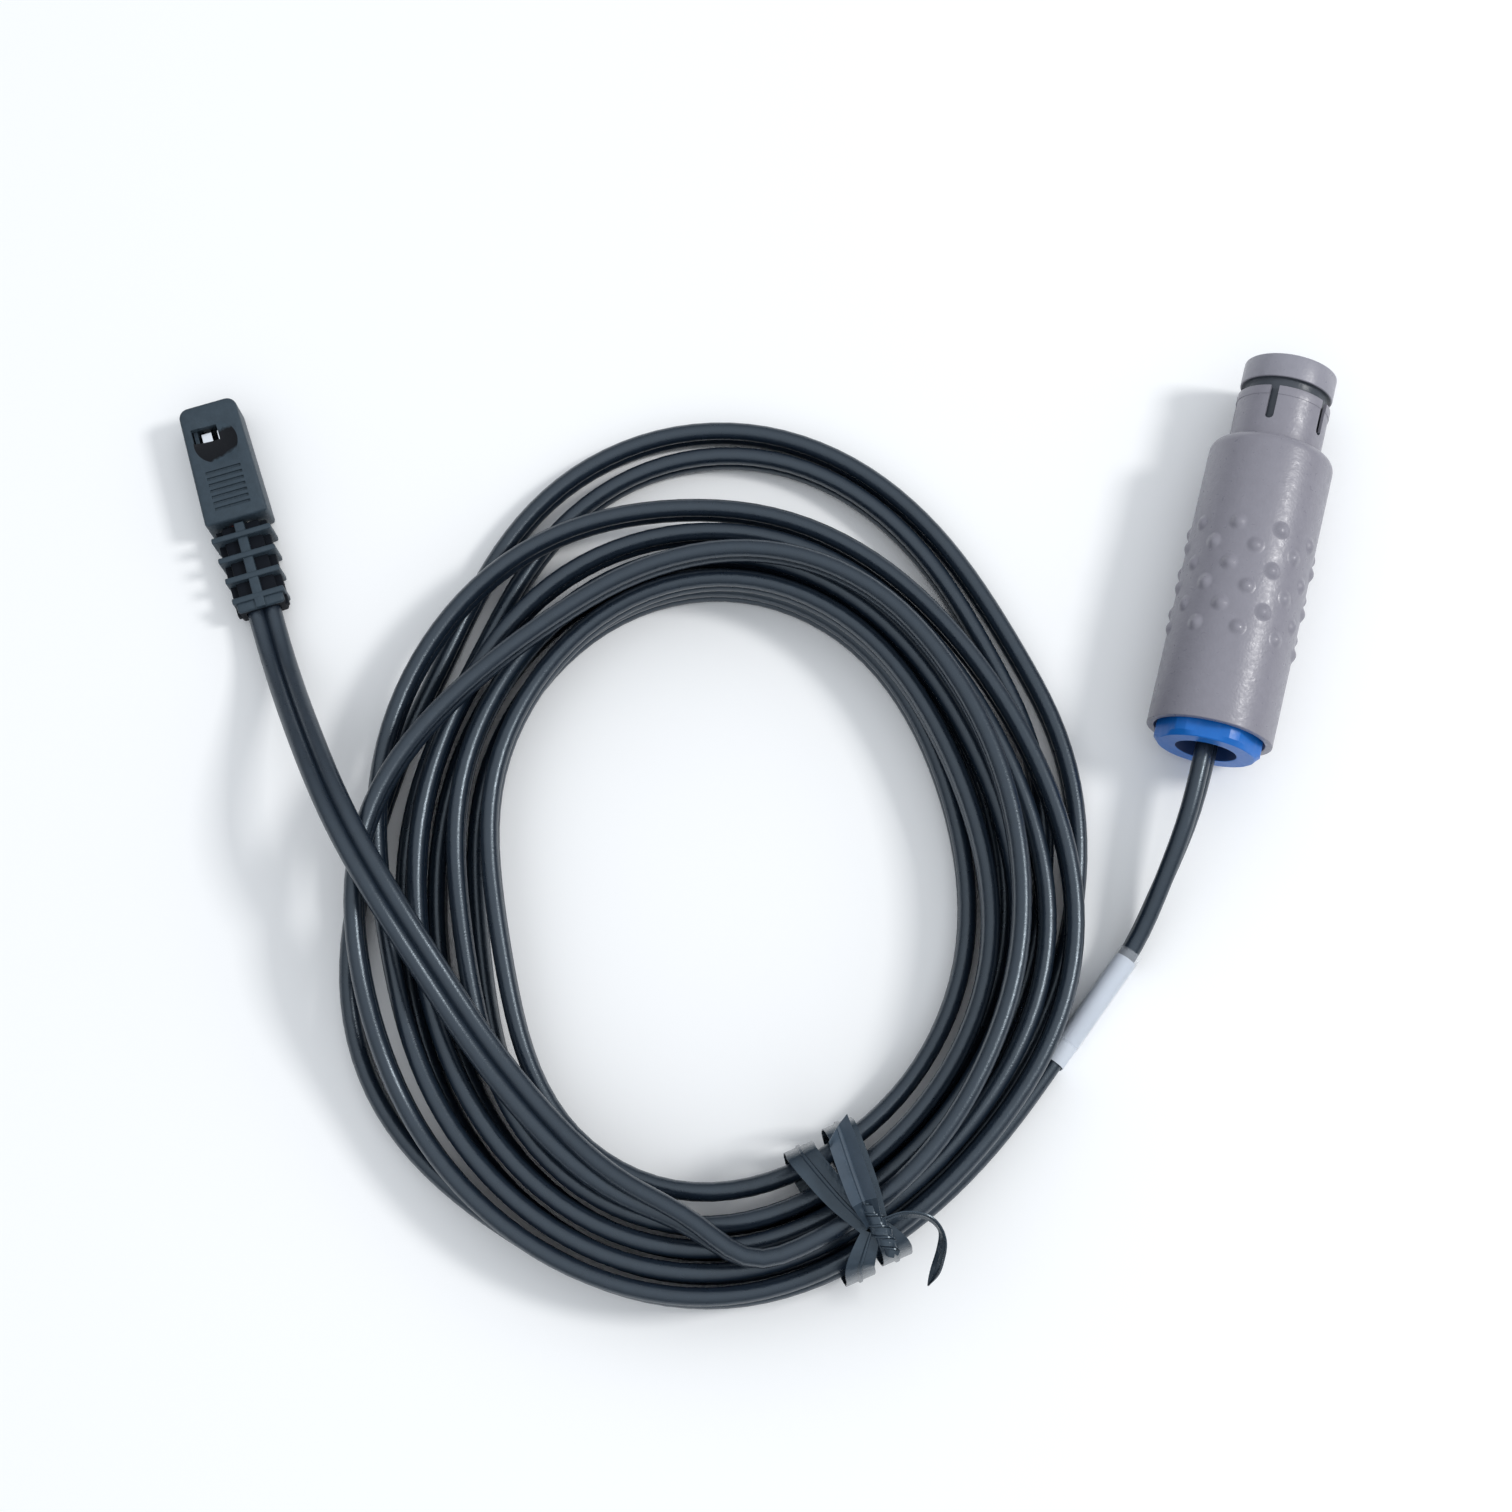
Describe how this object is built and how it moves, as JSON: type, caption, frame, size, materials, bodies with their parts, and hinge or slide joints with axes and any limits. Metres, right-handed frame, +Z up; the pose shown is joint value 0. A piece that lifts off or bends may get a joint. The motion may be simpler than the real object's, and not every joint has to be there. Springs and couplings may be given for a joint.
{
  "type": "instrument cable",
  "caption": "Coiled flat twin-core instrument cable with a push-pull connector, a clamping nut, a twist tie and a small flat plug.",
  "frame": {"origin": "on the floor, under the middle of the connector's length and width", "axes": "+Y along the connector's axis towards its nose, +Z up from the floor, -X towards the coil and the flat plug"},
  "size_m": [0.148, 0.1357, 0.0204],
  "materials": {
    "grey_plastic": "satin moulded, faint grain",
    "blue_plastic": "satin moulded",
    "insulator": "satin moulded",
    "pin_metal": "gold plated",
    "clip_metal": "bright, stamped",
    "cord_jacket": "satin, slightly glossy",
    "seal_rubber": "matte",
    "black_plastic": "satin moulded",
    "tie_plastic": "ribbon with a wire inside",
    "label_paper": "blank white film",
    "clear_sleeve": "clear heat-shrink",
    "red_core": "wire insulation",
    "white_core": "wire insulation"
  },
  "bodies": {
    "lead": {"nose_body": "grey_plastic", "latch_collar": "grey_plastic", "insert_retainer": "grey_plastic", "clamp_body": "grey_plastic", "contact_insert": "insulator", "contact_pin_1": "pin_metal", "contact_pin_2": "pin_metal", "contact_clip_1": "clip_metal", "contact_clip_2": "clip_metal", "clamped_cord": "cord_jacket", "cord_lead": "cord_jacket", "cord_coil": "cord_jacket", "cord_tail": "cord_jacket", "cord_grommet": "seal_rubber", "plug_housing": "black_plastic", "strain_relief": "black_plastic", "contact_carrier": "black_plastic", "twist_tie": "tie_plastic", "label_slip": "label_paper", "label_sleeve": "clear_sleeve", "core_wire_1": "red_core", "plug_wire_1": "red_core", "core_wire_2": "white_core", "plug_wire_2": "white_core"},
    "shell": {"outer_shell": "grey_plastic"},
    "collet": {"cord_collet": "black_plastic"},
    "nut": {"collet_nut": "blue_plastic"}
  },
  "joints": [
    {"name": "sleeve_pull", "type": "slide", "parent": "lead", "child": "shell", "axis": [0, -1, 0], "range_m": [0, 0.002]},
    {"name": "collet_release", "type": "slide", "parent": "lead", "child": "collet", "axis": [0, -1, 0], "range_m": [0, 0.003]},
    {"name": "nut_turn", "type": "hinge", "parent": "collet", "child": "nut", "pos_m": [0, -0.022, 0.00843], "axis": [0, -1, 0], "range_deg": [0, 1080]}
  ],
  "couplings": [
    {"joint": "nut_turn", "follows": "collet_release", "rad_per_m": 6283.2}
  ]
}
